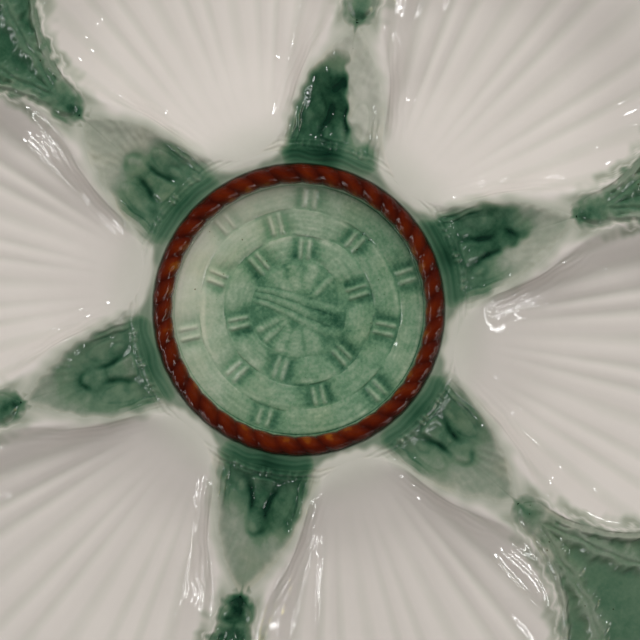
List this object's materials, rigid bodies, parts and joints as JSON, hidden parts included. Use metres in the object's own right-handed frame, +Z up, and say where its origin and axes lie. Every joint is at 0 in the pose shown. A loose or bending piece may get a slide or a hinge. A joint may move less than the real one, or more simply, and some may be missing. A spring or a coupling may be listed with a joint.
{
  "type": "oyster plate",
  "caption": "Round glazed earthenware plate with ribbed scallop-shell wells for oysters, basketwork panels and seaweed between them, and a basketwork sauce well with a rope border.",
  "frame": {"origin": "on the table under the middle of the plate", "axes": "+Z up along the plate's axis, +X along the middle of the first shell well"},
  "size_m": [0.244, 0.235, 0.0263],
  "materials": {
    "shell_glaze": "gloss",
    "back_glaze": "gloss",
    "mint_glaze": "gloss",
    "panel_glaze": "gloss",
    "weed_glaze": "gloss",
    "rope_glaze": "gloss"
  },
  "bodies": {
    "root": {"plate_body": "back_glaze", "foot_ring": "back_glaze", "sauce_well": "mint_glaze", "rope_ring": "rope_glaze", "shell_well_1": "shell_glaze", "shell_well_2": "shell_glaze", "shell_well_3": "shell_glaze", "shell_well_4": "shell_glaze", "shell_well_5": "shell_glaze", "shell_well_6": "shell_glaze", "basket_panel_1": "panel_glaze", "basket_panel_2": "panel_glaze", "basket_panel_3": "panel_glaze", "basket_panel_4": "panel_glaze", "basket_panel_5": "panel_glaze", "basket_panel_6": "panel_glaze", "seaweed_1": "weed_glaze", "seaweed_2": "weed_glaze", "seaweed_3": "weed_glaze", "seaweed_4": "weed_glaze", "seaweed_5": "weed_glaze", "seaweed_6": "weed_glaze"}
  },
  "joints": []
}
